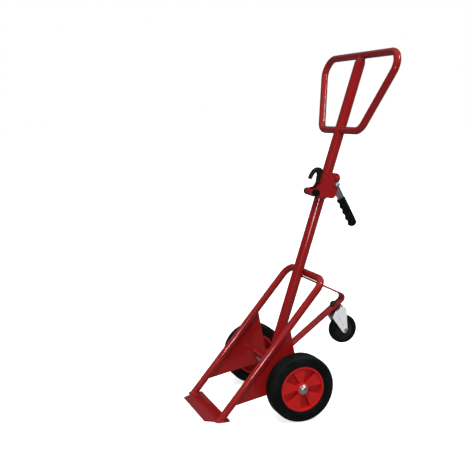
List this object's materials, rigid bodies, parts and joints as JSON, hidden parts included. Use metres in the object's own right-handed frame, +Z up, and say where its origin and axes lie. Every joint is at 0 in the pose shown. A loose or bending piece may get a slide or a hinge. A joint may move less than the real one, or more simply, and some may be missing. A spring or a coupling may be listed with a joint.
{
  "type": "drum dolly",
  "caption": "Two-wheeled tubular drum dolly: leaning mast with trapezoid handle, hoop, foot plate, rear swivel castor and a sliding beak clamp with a cam lever.",
  "frame": {"origin": "centre of the overall box at floor level, between the foot plate and the wheels", "axes": "+Z up, +X across the dolly to its right wheel, -Y the drum side, +Y the handle and castor side"},
  "size_m": [0.5406, 0.6592, 1.2596],
  "materials": {
    "frame_paint": "gloss powder coat",
    "hub_plastic": "semi-gloss",
    "tyre_rubber": "matte",
    "soft_rubber": "satin",
    "zinc": "bright zinc plate",
    "bare_steel": "dull plated steel",
    "dark_steel": "dark oxide",
    "castor_plastic": "matte"
  },
  "bodies": {
    "frame": {"mast_tube": "frame_paint", "handle_loop": "frame_paint", "hoop": "frame_paint", "cross_tube": "frame_paint", "gusset_right": "frame_paint", "gusset_left": "frame_paint", "foot_plate": "frame_paint", "castor_bracket": "frame_paint", "stub_axle_right": "zinc", "stub_axle_left": "zinc", "axle_nut_right": "zinc", "axle_nut_left": "zinc", "axle_washer_right": "zinc", "axle_washer_left": "zinc", "axle_spacer_right": "zinc", "axle_spacer_left": "zinc", "hub_washer_right": "zinc", "hub_washer_left": "zinc", "hub_cap_right": "zinc", "hub_cap_left": "zinc", "castor_race": "dark_steel", "castor_stem": "dark_steel", "castor_washer": "dark_steel", "castor_nut": "dark_steel"},
    "right_wheel": {"tyre_right": "tyre_rubber", "hub_right": "hub_plastic", "bush_right": "bare_steel"},
    "left_wheel": {"tyre_left": "tyre_rubber", "hub_left": "hub_plastic", "bush_left": "bare_steel"},
    "castor_swivel_head": {"castor_fork": "zinc", "castor_bush": "bare_steel", "castor_axle": "zinc", "castor_axle_nut": "zinc"},
    "castor_wheel": {"castor_wheel_core": "castor_plastic", "castor_tyre": "tyre_rubber"},
    "clamp": {"clamp_sleeve": "frame_paint", "brake_shoe": "dark_steel", "cheek_right": "frame_paint", "cheek_left": "frame_paint", "beak": "dark_steel", "pad_bar": "frame_paint", "pad_cap_right": "soft_rubber", "pad_cap_left": "soft_rubber", "top_spacer": "zinc", "top_bolt": "frame_paint", "top_nut": "zinc", "pivot_bolt": "zinc", "pivot_nut": "zinc"},
    "clamp_lever": {"lever": "bare_steel", "cam_right": "dark_steel", "cam_left": "dark_steel", "grip": "soft_rubber"}
  },
  "joints": [
    {"name": "right_wheel_spin", "type": "hinge", "parent": "frame", "child": "right_wheel", "pos_m": [0.2155, -0.01659, 0.116], "axis": [1, 0, 0], "continuous": true},
    {"name": "left_wheel_spin", "type": "hinge", "parent": "frame", "child": "left_wheel", "pos_m": [-0.2155, -0.01659, 0.116], "axis": [1, 0, 0], "continuous": true},
    {"name": "castor_swivel", "type": "hinge", "parent": "frame", "child": "castor_swivel_head", "pos_m": [0, 0.22181, 0.33286], "axis": [0, -0.5987, 0.8009], "continuous": true},
    {"name": "castor_wheel_spin", "type": "hinge", "parent": "castor_swivel_head", "child": "castor_wheel", "pos_m": [0, 0.25826, 0.2415], "axis": [1, 0, 0], "continuous": true},
    {"name": "clamp_slide", "type": "slide", "parent": "frame", "child": "clamp", "axis": [0, 0.3007, 0.9537], "range_m": [-0.2, 0.11]},
    {"name": "lever_hinge", "type": "hinge", "parent": "clamp", "child": "clamp_lever", "pos_m": [0, 0.20949, 0.78714], "axis": [1, 0, 0], "range_deg": [0, 40]}
  ]
}
